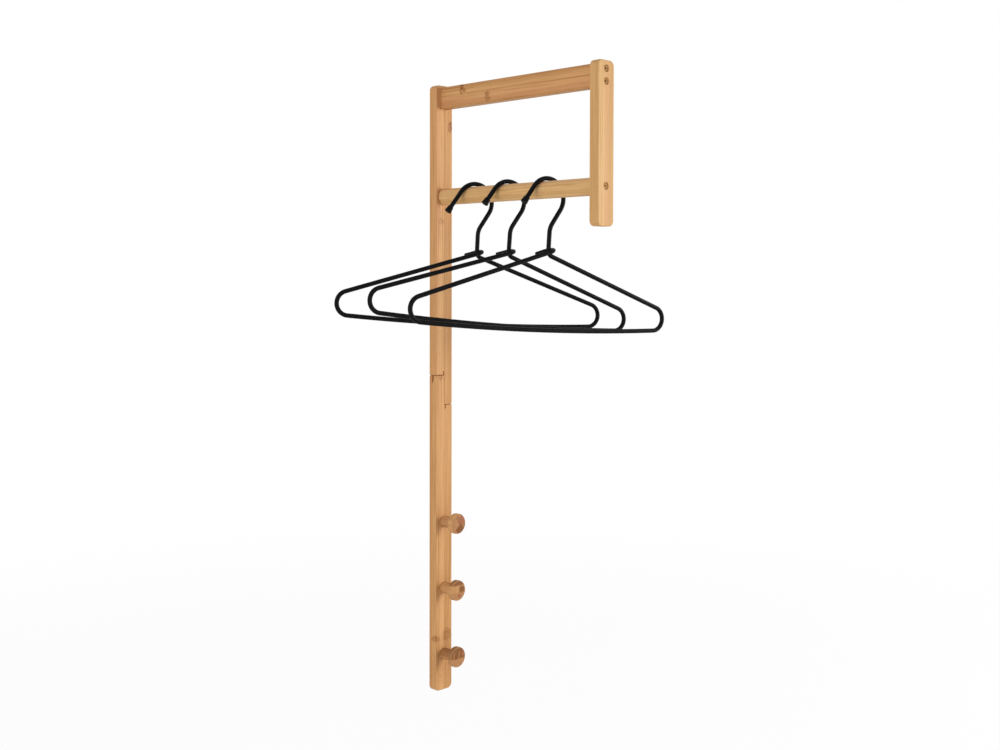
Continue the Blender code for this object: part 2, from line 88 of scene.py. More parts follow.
# Wire hangers
WIRE_DIAMETER = 0.0060
WIRE_EASE = 0.25             # length of a wire's eased end, as a share of its radius
WIRE_ENDS = ((0.0, 0.6), (0.5, 0.9), (1.0, 1.0))    # shares of that length and of the radius there
WIRE_TRIM = 0.0002           # round wire kept inside the faceted wire's box
HANGER_WIDTH = 0.400         # over the wire at both shoulders
SHOULDER_RADIUS = 0.0160     # of the wire's centre line
SHOULDER_DROP = 0.0744       # shoulder arc's centre below the neck
BAR_BOW = 0.0047             # sag of the bottom wire
NECK_DROP = 0.0824           # right arm's root below the rod's axis
NECK_LIFT = 0.0037           # left arm's crossing above the right arm's root
NECK_RADIUS = 0.008          # bend from the stem into the right arm
STEM_OFFSET = 0.0104         # stem's place to the right of the rod's axis
STEM_RADIUS = 0.0232         # lower bend of the stem
HOOK_RADIUS = 0.0252
HOOK_OFFSET = 0.0040         # hook arc's centre to the right of the rod's axis
HOOK_START = 147.0           # degrees, where the hook's straight leg begins
HOOK_END = -31.6             # degrees, where the stem leaves the hook
WRAP_GAP = 0.0004            # gap between the stem and the wire wound round it
WRAP_RISE = 0.0012           # climb of the wound half turn
TAIL_LENGTH = 0.0155         # wire's free end behind the left arm
TIP_LENGTH = 0.0085          # end cap on the hook
TIP_COVER = 0.0062           # length of wire inside the cap
TIP_MOUTH = 0.0076           # diameters of the cap at its mouth and its end
TIP_END = 0.0094
TIP_ROUND = 0.0007

# Each hanger: turn about the vertical and lean in degrees, length of its hook's straight leg, and how far
# its left shoulder is bent down
Hanger = namedtuple("Hanger", "node body joint turn lean leg droop")
HANGERS = (
    Hanger("hanger_inner", "inner_hanger", "inner_hanger_swing", -19.3, 3.0, 0.033, 0.0),
    Hanger("hanger_middle", "middle_hanger", "middle_hanger_swing", -15.1, 4.4, 0.0245, 0.0),
    Hanger("hanger_outer", "outer_hanger", "outer_hanger_swing", -13.3, 3.9, 0.0254, 0.008),
)

# Steps of the curved forms
CORNER_STEPS = 12
BEVEL_STEPS = 5
SEAM_STEPS = 2
TURNED_SIDES = 72
SCREW_SIDES = 40
SOCKET_SIDES = 6
TIP_SIDES = 40
WIRE_SIDES = 20
HOOK_STEPS = 56
STEM_STEPS = 16
NECK_STEPS = 14
SHOULDER_STEPS = 28
BOTTOM_STEPS = 40
WRAP_STEPS = 22
DOME_STEPS = 10
SHARP_ANGLE = 38.0           # degrees, edges shaded sharp
EASE_ANGLE = 60.0            # degrees, edges that get eased
MERGE = 1e-6                 # points closer than this are one

# Camera and light
CAMERA_PLACE = (-1.1704, -1.2407, 0.0963)
CAMERA_TURN = -46.275        # degrees about the vertical
CAMERA_PITCH = -1.635        # degrees
CAMERA_ROLL = -0.13          # degrees
CAMERA_LENS = 43.82          # millimetres, on a sensor 36 mm wide
CAMERA_SHIFT = -0.0545
FLOOR_HEIGHT = -0.62
FLOOR_SIZE = 30.0
FLOOR_ROUGHNESS = 0.8
FLOOR_WHITE = 0.94           # share of plain white in what the camera sees of the floor near the part
FLOOR_FADE = (0.7, 2.2)      # distances from the part between which that share grows to 1
WORLD_STRENGTH = 0.42
LIGHT_AIM = (0.0, -0.1, 0.0)
KEY_PLACE = (1.5, -1.7, 0.25)
KEY_SIZE = 0.9
KEY_POWER = 34.5
FILL_PLACE = (-2.3, -0.35, 0.3)
FILL_SIZE = 1.6
FILL_POWER = 23.0

TO_ROOM = Euler((pi / 2, 0.0, 0.0))
TO_WALL = Euler((-pi / 2, 0.0, 0.0))
TO_RIGHT = Euler((0.0, pi / 2, 0.0))

BACK_SCREWS = ("back_arm_screw_upper", "back_arm_screw_lower", "back_rod_screw",
               "knob_screw_lower", "knob_screw_middle", "knob_screw_upper")
FRONT_SCREWS = ("outer_arm_screw_upper", "outer_arm_screw_lower", "outer_rod_screw")
LAP_SCREWS = ("lap_screw_upper", "lap_screw_lower")
BRACKETS = ("keyhole_bracket_upper", "keyhole_bracket_lower")
KNOBS = ("knob_lower", "knob_middle", "knob_upper")


class Graph:
    """A node tree and short calls that add nodes to it."""

    def __init__(self, tree):
        self.tree = tree

    def node(self, kind, inputs=None, **settings):
        made = self.tree.nodes.new("ShaderNode" + kind)
        for key, value in settings.items():
            setattr(made, key, value)
        for key, value in (inputs or {}).items():
            self.feed(made.inputs[key], value)
        return made

    def feed(self, socket, value):
        if isinstance(value, bpy.types.NodeSocket):
            self.tree.links.new(value, socket)
        else:
            socket.default_value = value

    def place(self):
        return self.node("TexCoord").outputs["Object"]

    def math(self, operation, first, second=0.0, clamp=False):
        return self.node("Math", {0: first, 1: second}, operation=operation, use_clamp=clamp).outputs[0]

    def swing(self, value, amount):
        """A value from 0 to 1 turned into one about 0, of the given spread."""
        return self.math("MULTIPLY", self.math("SUBTRACT", value, 0.5), amount)

    def vector(self, operation, first, second=(0.0, 0.0, 0.0)):
        made = self.node("VectorMath", {0: first, 1: second}, operation=operation)
        return made.outputs["Value" if operation in ("LENGTH", "DOT_PRODUCT") else "Vector"]

    def noise(self, place, detail, roughness=0.5):
        return self.node("TexNoise", {"Vector": place, "Scale": 1.0, "Detail": detail,
                                      "Roughness": roughness}).outputs["Fac"]

    def even_noise(self, place, grain):
        """Noise that is equally fine in every direction."""
        scaled = self.vector("MULTIPLY", place, (grain.fineness,) * 3)
        return self.noise(scaled, grain.detail, grain.roughness)

    def cells(self, place, feature="F1"):
        made = self.node("TexVoronoi", {"Vector": place, "Scale": 1.0}, feature=feature)
        return made.outputs["Distance" if feature == "DISTANCE_TO_EDGE" else "Color"]

    def step(self, value, start, end, low=0.0, high=1.0):
        return self.node("MapRange", {"Value": value, "From Min": start, "From Max": end, "To Min": low,
                                      "To Max": high}, interpolation_type="SMOOTHSTEP").outputs["Result"]

    def mix(self, share, first, second):
        made = self.node("Mix", data_type="RGBA")
        for socket, value in zip((made.inputs[0], made.inputs[6], made.inputs[7]), (share, first, second)):
            self.feed(socket, value)
        return made.outputs[2]

    def split(self, colour):
        return self.node("SeparateColor", {0: colour}).outputs

    def bump(self, height, strength, distance):
        made = self.node("Bump", {"Height": height, "Strength": strength, "Distance": distance})
        return made.outputs["Normal"]


class Surface(Graph):
    """A material, with short calls that add nodes to it."""

    def __init__(self, name):
        self.material = bpy.data.materials.new(name)
        self.material.use_nodes = True
        super().__init__(self.material.node_tree)
        self.shader = self.tree.nodes["Principled BSDF"]

    def set(self, **values):
        for key, value in values.items():
            self.feed(self.shader.inputs[key.replace("_", " ")], value)


def shade(red, green, blue):
    return (red, green, blue, 1.0)


WHITE = shade(1.0, 1.0, 1.0)
FLOOR_TONES = (shade(0.90, 0.90, 0.90), shade(0.94, 0.94, 0.94))

# Even noise: fineness per metre, detail and roughness
Grain = namedtuple("Grain", "fineness detail roughness")
FLOOR_GRAIN = Grain(6.0, 3.0, 0.5)

# Tones of the bamboo, its knuckles and the blocks in the knobs
Palette = namedtuple("Palette", "light dark rose")
HONEY = Palette(shade(0.715, 0.395, 0.168), shade(0.45, 0.213, 0.072), shade(0.64, 0.310, 0.140))
TAWNY = Palette(shade(0.665, 0.360, 0.150), shade(0.41, 0.188, 0.062), shade(0.60, 0.280, 0.125))
PALE = Palette(shade(0.745, 0.455, 0.195), shade(0.52, 0.285, 0.102), shade(0.68, 0.365, 0.160))
STRAW = Palette(shade(0.80, 0.505, 0.230), shade(0.565, 0.320, 0.122), shade(0.735, 0.410, 0.190))
KNOB = Palette(shade(0.59, 0.305, 0.120), shade(0.255, 0.100, 0.033), shade(0.40, 0.148, 0.070))
# Dark tone of the knuckle marks, also used for painted shade at the lap's shoulder and the foot
KNUCKLE_AND_SHADE = shade(0.22, 0.062, 0.010)
KNOB_TAN = shade(0.51, 0.25, 0.108)
# Dark brown of the grain in a knob's blocks, also the painted shade on the right edge of a knob's face
KNOB_BROWN = shade(0.165, 0.062, 0.020)
KNOB_SIDE = shade(0.72, 0.390, 0.165)
# Pale tone of the painted highlight on the left edge of a knob's face
KNOB_EDGE_HIGHLIGHT = shade(0.80, 0.520, 0.270)

# Fibres of the bamboo: fineness across and along the grain, per metre, and the noise's detail
Fibre = namedtuple("Fibre", "across along detail")
BROAD = Fibre(150.0, 5.0, 2.0)
STREAK = Fibre(430.0, 7.0, 2.0)
THREAD = Fibre(900.0, 16.0, 3.0)
HAIR = Fibre(2600.0, 70.0, 2.0)
SWIRL = Fibre(620.0, 260.0, 2.0)
FIBRE_SPREADS = (1.0, 1.2, 0.5)   # of broad, thread and hair in the wood's tone
SEED_STEP = (3.7, 1.9, 2.3)       # shift of the pattern for each unit of seed
WOOD_TONE = 0.55                  # middle tone, from dark at 0 to light at 1
STREAK_RANGE = (0.54, 0.68)       # noise between which a streak darkens
ROSE_RANGE = (0.55, 0.95)         # strip tones between which a strip turns rosy
ROSE_SHARE = 0.55
GLUE_WIDTH = 0.035                # width of a dark glue line, as a share of a strip
GLUE_SHARE = 0.35
MARK_RANGE = (1.0, 0.55)          # shares of a mark's size between which it darkens
MARK_RAGGED = 1.6                 # unevenness of a mark's outline, in the same shares
MARK_GRAIN = (0.62, 0.42)         # noise between which a mark goes from faint to full
MARK_FAINT = 0.25
END_RANGE = (0.75, 0.96)          # how far a face must look along the grain to show end grain
END_DOTS = Fibre(2400.0, 200.0, 1.0)
DOT_RANGE = (0.45, 0.7)           # noise between which a dot darkens
DOT_SHARES = (0.12, 0.5)          # of the dark tone between and in the dots
WOOD_SHEEN = 0.10
WOOD_ROUGH_RANGE = (0.3, 0.75)    # thread noise between which the roughness grows
WOOD_ROUGHNESS = (0.40, 0.56)
WOOD_BUMP = (0.16, 0.0002)        # strength and height

# Dark mark, a knuckle of the bamboo or painted shade at the lap's shoulder and the foot: middle, half size
# and strength
Mark = namedtuple("Mark", "centre size strength")

# Block of end grain in a knob's face: middle and half size as shares of the face's radius, turn in degrees
Block = namedtuple("Block", "middle half turn colour")
BLOCK_EDGE = 0.06
BLOCK_GRAIN = (0.3, 0.7)     # thread noise between which a block darkens
BLOCK_GRAIN_SHARE = 0.35
SIDE_PALE = 0.6              # share of the paler tone on a knob's sides
SIDE_BLOCKS = 0.65           # strength of the blocks along a knob's sides
RIM_START = 0.88             # share of a knob's radius where the painted highlight and painted shade on the edge of its face begin
RIM_TURN = (-0.5, 0.4)       # places across the face between which that edge goes from painted highlight to painted shade
RIM_HIGHLIGHT = 0.28              # strengths of the painted highlight on the left edge and of the painted shade on the right
RIM_SHADE = 0.75

# Coated wire: dull patches and a fine orange peel
PATCHES = Grain(120.0, 3.0, 0.5)
PEEL = Grain(1500.0, 2.0, 0.5)
PATCH_TONES = (0.35, 0.75)   # noise between which the tone changes
PATCH_RANGE = (0.3, 0.7)     # noise between which the roughness changes
PATCH_ROUGHNESS = (-0.06, 0.08)      # change to the roughness
PEEL_BUMP = (0.02, 0.0001)   # strength and height
COATING_SHEEN = 0.055

# Plated steel: cloudy tone and fine turning marks
CLOUDS = Grain(420.0, 4.0, 0.6)
CLOUD_RANGE = (0.3, 0.7)     # noise between which the tone and the roughness change
CLOUD_ROUGHNESS = (-0.08, 0.08)      # change to the roughness
TURNING_MARKS = Grain(5200.0, 2.0, 0.5)
TURNING_BUMP = (0.1, 0.00005)        # strength and height

AXES = {"X": (1.0, 0.0, 0.0), "Y": (0.0, 1.0, 0.0), "Z": (0.0, 0.0, 1.0)}


def along(axes, across, deep, grain):
    """A vector with one value along each named axis: across the strips, into the bar and along the grain."""
    values = dict(zip(axes, (across, deep, grain)))
    return (values["X"], values["Y"], values["Z"])


def knob_blocks(surface, colour, end, place, node, blocks, thread):
    """Blocks of end grain on a knob's face, fainter along its sides, and a painted highlight on the left edge
    of the face with painted shade on its right edge.
    """
    low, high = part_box(node)
    middle = (low + high) / 2
    radius = (high.z - low.z) / 2
    spot = surface.vector("DIVIDE", surface.vector("SUBTRACT", place, middle), (radius, 1.0, radius))
    side = surface.math("SUBTRACT", 1.0, end)
    colour = surface.mix(surface.math("MULTIPLY", side, SIDE_PALE), colour, KNOB_SIDE)
    shown = surface.math("MAXIMUM", end, SIDE_BLOCKS)
    grain = surface.step(thread, *BLOCK_GRAIN, 0.0, BLOCK_GRAIN_SHARE)
    for block in blocks:
        turn = radians(block.turn)
        away = surface.vector("SUBTRACT", spot, (block.middle[0], 0.0, block.middle[1]))
        share = shown
        for axis, half in zip(((cos(turn), 0.0, sin(turn)), (-sin(turn), 0.0, cos(turn))), block.half):
            across = surface.math("ABSOLUTE", surface.vector("DOT_PRODUCT", away, axis))
            inside = surface.step(across, half + BLOCK_EDGE, half - BLOCK_EDGE)
            share = surface.math("MULTIPLY", share, inside)
        colour = surface.mix(share, colour, surface.mix(grain, block.colour, KNOB_BROWN))
    # Painted highlight on the left edge of the face and painted shade on its right edge
    out = surface.vector("LENGTH", surface.vector("MULTIPLY", spot, (1.0, 0.0, 1.0)))
    depth = surface.vector("DOT_PRODUCT", place, AXES["Y"])
    front = surface.step(depth, low.y + KNOB_DOME + KNOB_ROUND, low.y + KNOB_DOME)
    across = surface.vector("DOT_PRODUCT", spot, AXES["X"])
    edge = surface.math("MULTIPLY", front, surface.step(out, RIM_START, 1.0))
    edge = surface.math("MULTIPLY", edge, surface.step(across, *RIM_TURN, RIM_HIGHLIGHT, RIM_SHADE))
    return surface.mix(edge, colour, surface.mix(surface.step(across, *RIM_TURN), KNOB_EDGE_HIGHLIGHT, KNOB_BROWN))


def bamboo(name, axes, palette, strip, seed, contrast, marks=(), node=None, blocks=()):
    """Laminated bamboo: strips of uneven tone, fibres along the grain, knuckle marks, marks of painted shade
    and dotted end grain.

    axes names the axis across the strips, the axis into the bar and the grain's axis; strip is a strip's
    size along the first two; seed shifts the pattern; contrast is how much the strips differ. A knob also
    has its node and blocks.
    """
    surface = Surface(name)
    place = surface.place()
    offset = tuple(seed * step for step in SEED_STEP)
    laid = surface.vector("MULTIPLY", place, along(axes, 1 / strip[0], 1 / strip[1], 0.0))
    lattice = surface.vector("ADD", laid, offset)
    tone = surface.split(surface.cells(lattice))
    edge = surface.cells(lattice, "DISTANCE_TO_EDGE")

    def fibres(fibre):
        scaled = surface.vector("MULTIPLY", place, along(axes, fibre.across, fibre.across, fibre.along))
        return surface.noise(surface.vector("ADD", scaled, offset), fibre.detail)

    broad, streak, thread, hair, swirl = (fibres(fibre) for fibre in (BROAD, STREAK, THREAD, HAIR, SWIRL))
    value = surface.swing(tone[0], contrast)
    for grain, spread in zip((broad, thread, hair), FIBRE_SPREADS):
        value = surface.math("ADD", value, surface.swing(grain, spread))
    value = surface.math("SUBTRACT", value, surface.step(streak, *STREAK_RANGE, 0.0, contrast))
    colour = surface.mix(surface.math("ADD", value, WOOD_TONE, clamp=True), palette.dark, palette.light)
    colour = surface.mix(surface.step(tone[1], *ROSE_RANGE, 0.0, ROSE_SHARE), colour, palette.rose)
    colour = surface.mix(surface.step(edge, 0.0, GLUE_WIDTH, GLUE_SHARE, 0.0), colour, palette.dark)
    # Knuckle marks, and marks of painted shade at the lap's shoulder and the foot
    for mark in marks:
        away = surface.vector("SUBTRACT", place, mark.centre)
        ring = surface.vector("LENGTH", surface.vector("DIVIDE", away, mark.size))
        ragged = surface.math("ADD", ring, surface.swing(swirl, MARK_RAGGED))
        inside = surface.step(ragged, *MARK_RANGE, 0.0, mark.strength)
        fibrous = surface.step(swirl, *MARK_GRAIN, MARK_FAINT, 1.0)
        colour = surface.mix(surface.math("MULTIPLY", inside, fibrous), colour, KNUCKLE_AND_SHADE)
    normal = surface.node("NewGeometry").outputs["Normal"]
    facing = surface.math("ABSOLUTE", surface.vector("DOT_PRODUCT", normal, AXES[axes[2]]))
    end = surface.step(facing, *END_RANGE)
    spread = along(axes, END_DOTS.across, END_DOTS.across, END_DOTS.along)
    dots = surface.noise(surface.vector("MULTIPLY", place, spread), END_DOTS.detail)
    dotted = surface.math("MULTIPLY", end, surface.step(dots, *DOT_RANGE, *DOT_SHARES))
    colour = surface.mix(dotted, colour, palette.dark)
    if blocks:
        colour = knob_blocks(surface, colour, end, place, node, blocks, thread)
    surface.set(Base_Color=colour, Specular_IOR_Level=WOOD_SHEEN,
                Roughness=surface.step(thread, *WOOD_ROUGH_RANGE, *WOOD_ROUGHNESS),
                Normal=surface.bump(surface.math("ADD", thread, hair), *WOOD_BUMP))
    return surface.material


def coating(name, colour, grey, roughness):
    """Black dip coating with a fine orange peel and dull patches."""
    surface = Surface(name)
    place = surface.place()
    patches = surface.even_noise(place, PATCHES)
    peel = surface.even_noise(place, PEEL)
    around = [roughness + change for change in PATCH_ROUGHNESS]
    surface.set(Base_Color=surface.mix(surface.step(patches, *PATCH_TONES), colour, grey),
                Specular_IOR_Level=COATING_SHEEN, Roughness=surface.step(patches, *PATCH_RANGE, *around),
                Normal=surface.bump(peel, *PEEL_BUMP))
    return surface.material


def metal(name, colour, worn, metallic, roughness):
    """Plated steel with cloudy tone and fine turning marks."""
    surface = Surface(name)
    place = surface.place()
    cloud = surface.even_noise(place, CLOUDS)
    fine = surface.even_noise(place, TURNING_MARKS)
    around = [roughness + change for change in CLOUD_ROUGHNESS]
    surface.set(Base_Color=surface.mix(surface.step(cloud, *CLOUD_RANGE), colour, worn), Metallic=metallic,
                Roughness=surface.step(cloud, *CLOUD_RANGE, *around),
                Normal=surface.bump(fine, *TURNING_BUMP))
    return surface.material


UPRIGHT_GRAIN = ("X", "Y", "Z")
FORWARD_GRAIN = ("Z", "X", "Y")
KNOB_GRAIN = ("X", "Z", "Y")

LAP_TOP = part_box("lower_post")[1].z
# Painted shade along the gap at the lap's shoulder
SHOULDER_SHADE = Mark((-0.0080, -0.014, LAP_TOP), (0.0095, 0.003, 0.0009), 0.85)
POST_MARKS = (
    SHOULDER_SHADE,
    Mark((-0.0045, -0.014, 0.185), (0.0060, 0.004, 0.0060), 0.35),
    Mark((0.0115, -0.014, 0.3165), (0.0050, 0.004, 0.0095), 0.75),
)
FOOT_MARKS = (
    SHOULDER_SHADE,
    Mark((-0.0155, -0.0075, -0.033), (0.003, 0.0024, 0.0085), 0.9),
    Mark((-0.0070, -0.014, -0.031), (0.0070, 0.004, 0.0055), 0.45),
    Mark((0.006, -0.014, -0.3935), (0.0105, 0.004, 0.0100), 0.6),
    Mark((-0.0155, -0.012, -0.397), (0.0110, 0.008, 0.0055), 0.6),
    # Painted shade, darker towards the foot
    Mark((0.0, -0.007, -0.435), (0.030, 0.030, 0.030), 0.16),
)
ARM_MARKS = (
    Mark((-0.0065, -0.054, 0.3675), (0.004, 0.0045, 0.0050), 0.95),
    Mark((-0.0065, -0.056, 0.3610), (0.004, 0.0065, 0.0055), 0.6),
    Mark((-0.0065, -0.1035, 0.348), (0.004, 0.0060, 0.0085), 0.6),
)
UPPER_BAMBOO = bamboo("bamboo_upper_post", UPRIGHT_GRAIN, HONEY, strip=(0.0085, 0.016), seed=1.0,
                      contrast=0.5, marks=POST_MARKS)
LOWER_BAMBOO = bamboo("bamboo_lower_post", UPRIGHT_GRAIN, HONEY, strip=(0.0085, 0.016), seed=2.0,
                      contrast=0.5, marks=FOOT_MARKS)
UPRIGHT_BAMBOO = bamboo("bamboo_upright", UPRIGHT_GRAIN, PALE, strip=(0.0095, 0.016), seed=3.0, contrast=0.45)
ARM_BAMBOO = bamboo("bamboo_arm", FORWARD_GRAIN, TAWNY, strip=(0.0075, 0.014), seed=4.0, contrast=0.75,
                    marks=ARM_MARKS)
ROD_BAMBOO = bamboo("bamboo_rod", FORWARD_GRAIN, STRAW, strip=(0.009, 0.011), seed=7.4, contrast=0.6)
KNOB_FACES = {
    "knob_upper": (
        Block((0.55, 0.45), (0.62, 0.42), 45.0, KNOB.rose),
        Block((0.30, -0.62), (0.80, 0.42), -40.0, KNOB.dark),
        Block((-0.50, -0.05), (0.42, 0.42), 45.0, KNOB_TAN),
    ),
    "knob_middle": (
        Block((0.0, 0.80), (1.2, 0.26), 0.0, KNOB.dark),
        Block((0.0, -0.66), (1.2, 0.40), 0.0, KNOB_TAN),
        Block((-0.50, 0.14), (0.54, 0.34), 0.0, KNOB.light),
        Block((0.42, 0.13), (0.34, 0.24), 0.0, KNOB.dark),
        Block((0.10, -0.52), (0.24, 0.16), -20.0, KNOB.rose),
    ),
    "knob_lower": (
        Block((0.0, 0.46), (1.2, 0.58), 0.0, KNOB.dark),
        Block((0.0, -0.60), (1.2, 0.48), 0.0, KNOB_TAN),
        Block((-0.62, 0.22), (0.05, 0.36), -14.0, KNOB_TAN),
        Block((0.02, 0.22), (0.05, 0.36), -14.0, KNOB_TAN),
        Block((0.62, 0.28), (0.18, 0.20), 0.0, KNOB.rose),
    ),
}
KNOB_BAMBOO = {node: bamboo("bamboo_" + node, KNOB_GRAIN, KNOB, strip=(0.011, 0.009), seed=6.0 + index,
                            contrast=0.6, node=node, blocks=KNOB_FACES[node])
               for index, node in enumerate(KNOBS)}
BRONZED_STEEL = metal("bronzed_steel", shade(0.11, 0.054, 0.015), shade(0.18, 0.092, 0.029),
                      metallic=0.9, roughness=0.5)
ZINC_STEEL = metal("zinc_steel", shade(0.36, 0.36, 0.35), shade(0.47, 0.47, 0.455),
                   metallic=1.0, roughness=0.36)
BLACK_WIRE = coating("black_coated_wire", shade(0.004, 0.004, 0.0043), shade(0.007, 0.007, 0.0074),
                     roughness=0.40)
BLACK_TIP = coating("black_tip", shade(0.003, 0.003, 0.0033), shade(0.005, 0.005, 0.0054),
                    roughness=0.5)


def add_object(name, mesh):
    item = bpy.data.objects.new(name, mesh)
    bpy.context.scene.collection.objects.link(item)
    return item


def mesh_from(name, form):
    bmesh.ops.remove_doubles(form, verts=form.verts, dist=MERGE)
    bmesh.ops.recalc_face_normals(form, faces=form.faces)
    mesh = bpy.data.meshes.new(name)
    form.to_mesh(mesh)
    form.free()
    return mesh


def rounded_outline(corners):
    """Points of a closed outline through (x, z, radius) corners, each rounded by an arc."""
    points = []
    for index, (x, z, radius) in enumerate(corners):
        here = Vector((x, z))
        back = (Vector(corners[index - 1][:2]) - here).normalized()
        ahead = (Vector(corners[(index + 1) % len(corners)][:2]) - here).normalized()
        half = back.angle(ahead) / 2
        centre = here + (back + ahead).normalized() * radius / sin(half)
        start = here + back * radius / tan(half) - centre
        end = here + ahead * radius / tan(half) - centre
        first = atan2(start.y, start.x)
        sweep = (atan2(end.y, end.x) - first + pi) % (2 * pi) - pi
        for step in range(CORNER_STEPS + 1):
            angle = first + sweep * step / CORNER_STEPS
            point = centre + radius * Vector((cos(angle), sin(angle)))
            if not points or min((point - other).length for other in (points[0], points[-1])) > MERGE:
                points.append(point)
    return points


def rectangle(left, right, low, high, low_radius=0.0, high_radius=0.0):
    return [(left, high, high_radius), (left, low, low_radius),
            (right, low, low_radius), (right, high, high_radius)]


def slab(name, corners, y_back, y_front):
    """A flat outline in XZ, between two depths."""
    form = bmesh.new()
    outline = rounded_outline(corners)
    back = [form.verts.new((x, y_back, z)) for x, z in outline]
    front = [form.verts.new((x, y_front, z)) for x, z in outline]
    form.faces.new(back)
    form.faces.new(front)
    for index in range(len(outline)):
        ahead = (index + 1) % len(outline)
        form.faces.new((back[index], back[ahead], front[ahead], front[index]))
    return add_object(name, mesh_from(name, form))


def turned(name, profile, sides, location, rotation):
    """A profile of (radius, height) points, from top to bottom, turned about the piece's own Z axis."""
    place = Matrix.LocRotScale(Vector(location), rotation, None)
    form = bmesh.new()
    rings = []
    for radius, height in profile:
        count = sides if radius > MERGE else 1
        angles = [2 * pi * side / sides for side in range(count)]
        points = [Vector((radius * cos(a), radius * sin(a), height)) for a in angles]
        rings.append([form.verts.new(place @ point) for point in points])
    for above, below in zip(rings, rings[1:]):
        for side in range(sides):
            ahead = (side + 1) % sides
            corners = [above[side % len(above)], above[ahead % len(above)],
                       below[ahead % len(below)], below[side % len(below)]]
            form.faces.new(list(dict.fromkeys(corners)))
    return add_object(name, mesh_from(name, form))


def tube(name, route, radius, place):
    """A round wire along a route, with eased ends."""
    form = bmesh.new()
    ease = radius * WIRE_EASE
    first = (route[1] - route[0]).normalized()
    last = (route[-1] - route[-2]).normalized()
    points = [(route[0] + first * ease * share, size) for share, size in WIRE_ENDS]
    points += [(point, 1.0) for point in route[1:-1]]
    points += [(route[-1] - last * ease * share, size) for share, size in reversed(WIRE_ENDS)]
    tangent = first
    side = Vector((0.0, 1.0, 0.0))
    side = (side - tangent * side.dot(tangent)).normalized()
    rings = []
    for index, (point, size) in enumerate(points):
        before = points[max(index - 1, 0)][0]
        after = points[min(index + 1, len(points) - 1)][0]
        turn = tangent.rotation_difference((after - before).normalized())
        tangent = (after - before).normalized()
        side = turn @ side
        side = (side - tangent * side.dot(tangent)).normalized()
        up = tangent.cross(side)
        angles = [2 * pi * step / WIRE_SIDES for step in range(WIRE_SIDES)]
        around = [point + radius * size * (side * cos(a) + up * sin(a)) for a in angles]
        rings.append([form.verts.new(place @ spot) for spot in around])
    form.faces.new(rings[0])
    form.faces.new(rings[-1])
    for near, far in zip(rings, rings[1:]):
        for step in range(WIRE_SIDES):
            ahead = (step + 1) % WIRE_SIDES
            form.faces.new((near[step], near[ahead], far[ahead], far[step]))
    return add_object(name, mesh_from(name, form))


def ease_edges(item, width, segments):
    ease = item.modifiers.new("ease", "BEVEL")
    ease.width = width
    ease.segments = segments
    ease.limit_method = "ANGLE"
    ease.angle_limit = radians(EASE_ANGLE)
    ease.use_clamp_overlap = False


def cut(item, *cutters):
    for cutter in cutters:
        boolean = item.modifiers.new("cut", "BOOLEAN")
        boolean.operation = "DIFFERENCE"
        boolean.solver = "EXACT"
        boolean.object = cutter


def settle(item, cutters=()):
    """Applies the modifiers, removes the cutters and shades the result with flat faces kept flat."""
    bpy.context.view_layer.update()
    mesh = bpy.data.meshes.new_from_object(item.evaluated_get(bpy.context.evaluated_depsgraph_get()))
    old = item.data
    item.modifiers.clear()
    item.data = mesh
    mesh.name = item.name
    bpy.data.meshes.remove(old)
    for cutter in cutters:
        bpy.data.objects.remove(cutter)
    mesh.shade_smooth()
    mesh.set_sharp_from_angle(angle=radians(SHARP_ANGLE))
    weigh = item.modifiers.new("weigh", "WEIGHTED_NORMAL")
    weigh.keep_sharp = True


def dress(item, node, body, material):
    """Gives a finished piece its material and lets it stand for its CAD node."""
    item.data.materials.clear()
    item.data.materials.append(material)
    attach(item, body)
    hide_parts(node)


def screw_sizes(node, axis):
    """Head diameter and length of a screw, from its box."""
    low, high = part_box(node)
    spans = [high[index] - low[index] for index in range(3)]
    return spans[(axis + 1) % 3], spans[axis]


ScrewSeat = namedtuple("ScrewSeat", "node axis sign rotation")
SEATS = ([ScrewSeat(node, 1, -1, TO_ROOM) for node in FRONT_SCREWS]
         + [ScrewSeat(node, 1, 1, TO_WALL) for node in BACK_SCREWS]
         + [ScrewSeat(node, 0, 1, TO_RIGHT) for node in LAP_SCREWS]
         + [ScrewSeat(bracket + "_screw_" + end, 1, 1, TO_WALL) for bracket in BRACKETS
            for end in ("upper", "lower")])


def screw_profile(head, length, grow=0.0, rise=0.0):
    """Countersunk screw sunk a little below height 0, or the grown room for it, which rises above 0."""
    rim = head / 2 + grow
    shank = head * SCREW_SHANK_SHARE / 2 + grow
    neck = -head * SCREW_HEAD_SHARE - SCREW_SINK - grow
    sunk = [(0.0, -SCREW_SINK), (rim - SCREW_EASE, -SCREW_SINK), (rim, -SCREW_SINK - SCREW_EASE)]
    mouth = [(rim + 2 * SCREW_MOUTH, SCREW_SINK), (rim, -SCREW_SINK)]
    top = [(0.0, rise), (rim + 2 * SCREW_MOUTH, rise)] + mouth if grow else sunk
    return top + [(rim, -SCREW_RIM - SCREW_SINK - grow), (shank, neck), (shank, SCREW_POINT - length - grow),
                  (0.0, -length - grow)]


def seat_place(seat):
    low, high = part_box(seat.node)
    place = (low + high) / 2
    place[seat.axis] = high[seat.axis] if seat.sign > 0 else low[seat.axis]
    return place


def screw_room(seat):
    head, length = screw_sizes(seat.node, seat.axis)
    profile = screw_profile(head, length, FIT, head)
    return turned(seat.node + "_room", profile, SCREW_SIDES, seat_place(seat), seat.rotation)


